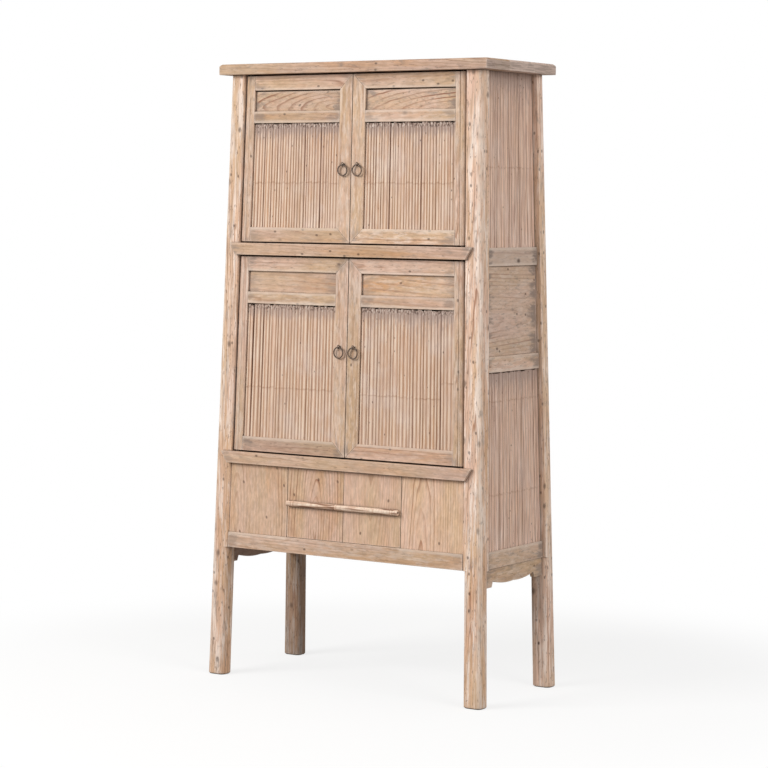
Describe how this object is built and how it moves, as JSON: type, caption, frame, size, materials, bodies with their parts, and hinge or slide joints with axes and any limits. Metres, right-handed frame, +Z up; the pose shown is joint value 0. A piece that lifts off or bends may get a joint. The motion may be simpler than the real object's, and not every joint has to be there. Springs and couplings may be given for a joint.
{
  "type": "bamboo cabinet",
  "caption": "Tapered softwood cabinet on splayed legs, with bamboo-slat doors on wooden pivots, ring pulls, slatted sides and a low chest behind a pull-out hatch.",
  "frame": {"origin": "centre of the footprint at floor level", "axes": "+Z up, +X to the right when facing the doors, the front faces -Y"},
  "size_m": [0.9208, 0.4258, 1.75],
  "materials": {
    "washed_wood": "dry, bleached and hand worn",
    "inner_wood": "dry, unfinished boards",
    "bamboo": "weathered split bamboo, slight sheen",
    "iron": "old hand-forged iron, dark and matt"
  },
  "bodies": {
    "cabinet": {"back_boards": "inner_wood", "cabinet_floor": "inner_wood", "front_bottom_rail": "washed_wood", "front_fixed_boards": "washed_wood", "front_left_post": "washed_wood", "front_lower_rail": "washed_wood", "front_middle_rail": "washed_wood", "front_right_post": "washed_wood", "hatch_stops": "inner_wood", "left_apron": "washed_wood", "left_lower_side_slats": "bamboo", "left_side_plank": "washed_wood", "left_side_rails": "washed_wood", "left_upper_side_slats": "bamboo", "lower_shelf": "inner_wood", "middle_shelf": "inner_wood", "rear_left_post": "washed_wood", "rear_rails": "washed_wood", "rear_right_post": "washed_wood", "right_apron": "washed_wood", "right_lower_side_slats": "bamboo", "right_side_plank": "washed_wood", "right_side_rails": "washed_wood", "right_upper_side_slats": "bamboo", "top_front_board": "washed_wood", "top_middle_board": "washed_wood", "top_rear_board": "washed_wood", "upper_shelf": "inner_wood"},
    "upper_left_door": {"upper_left_door_plank": "washed_wood", "upper_left_door_rails": "washed_wood", "upper_left_door_slats": "bamboo", "upper_left_meeting_stile": "washed_wood", "upper_left_pivot_stile": "washed_wood", "upper_left_pull_eye": "iron"},
    "upper_left_ring": {"upper_left_pull_ring": "iron"},
    "upper_right_door": {"upper_right_door_plank": "washed_wood", "upper_right_door_rails": "washed_wood", "upper_right_door_slats": "bamboo", "upper_right_meeting_stile": "washed_wood", "upper_right_pivot_stile": "washed_wood", "upper_right_pull_eye": "iron"},
    "upper_right_ring": {"upper_right_pull_ring": "iron"},
    "lower_left_door": {"lower_left_door_plank": "washed_wood", "lower_left_door_rails": "washed_wood", "lower_left_door_slats": "bamboo", "lower_left_meeting_stile": "washed_wood", "lower_left_pivot_stile": "washed_wood", "lower_left_pull_eye": "iron"},
    "lower_left_ring": {"lower_left_pull_ring": "iron"},
    "lower_right_door": {"lower_right_door_plank": "washed_wood", "lower_right_door_rails": "washed_wood", "lower_right_door_slats": "bamboo", "lower_right_meeting_stile": "washed_wood", "lower_right_pivot_stile": "washed_wood", "lower_right_pull_eye": "iron"},
    "lower_right_ring": {"lower_right_pull_ring": "iron"},
    "hatch": {"hatch_boards": "washed_wood", "hatch_battens": "inner_wood", "hatch_handle": "bamboo", "handle_pegs": "iron"}
  },
  "joints": [
    {"name": "upper_left_door_swing", "type": "hinge", "parent": "cabinet", "child": "upper_left_door", "pos_m": [-0.36146, -0.16534, 1.24811], "axis": [-0.02, -0.0261, -0.9995], "range_deg": [0, 95]},
    {"name": "upper_left_ring_swing", "type": "hinge", "parent": "upper_left_door", "child": "upper_left_ring", "pos_m": [-0.024, -0.17813, 1.46659], "axis": [-1, 0, 0], "range_deg": [-5, 100]},
    {"name": "upper_right_door_swing", "type": "hinge", "parent": "cabinet", "child": "upper_right_door", "pos_m": [0.36146, -0.16534, 1.24811], "axis": [-0.02, 0.0261, 0.9995], "range_deg": [0, 95]},
    {"name": "upper_right_ring_swing", "type": "hinge", "parent": "upper_right_door", "child": "upper_right_ring", "pos_m": [0.024, -0.17813, 1.46659], "axis": [-1, 0, 0], "range_deg": [-5, 100]},
    {"name": "lower_left_door_swing", "type": "hinge", "parent": "cabinet", "child": "lower_left_door", "pos_m": [-0.3734, -0.18092, 0.65261], "axis": [-0.02, -0.0261, -0.9995], "range_deg": [0, 95]},
    {"name": "lower_left_ring_swing", "type": "hinge", "parent": "lower_left_door", "child": "lower_left_ring", "pos_m": [-0.024, -0.19136, 0.96109], "axis": [-1, 0, 0], "range_deg": [-5, 100]},
    {"name": "lower_right_door_swing", "type": "hinge", "parent": "cabinet", "child": "lower_right_door", "pos_m": [0.3734, -0.18092, 0.65261], "axis": [-0.02, 0.0261, 0.9995], "range_deg": [0, 95]},
    {"name": "lower_right_ring_swing", "type": "hinge", "parent": "lower_right_door", "child": "lower_right_ring", "pos_m": [0.024, -0.19136, 0.96109], "axis": [-1, 0, 0], "range_deg": [-5, 100]},
    {"name": "hatch_pull", "type": "slide", "parent": "cabinet", "child": "hatch", "axis": [0, -0.9997, 0.0262], "range_m": [0, 0.25]}
  ]
}
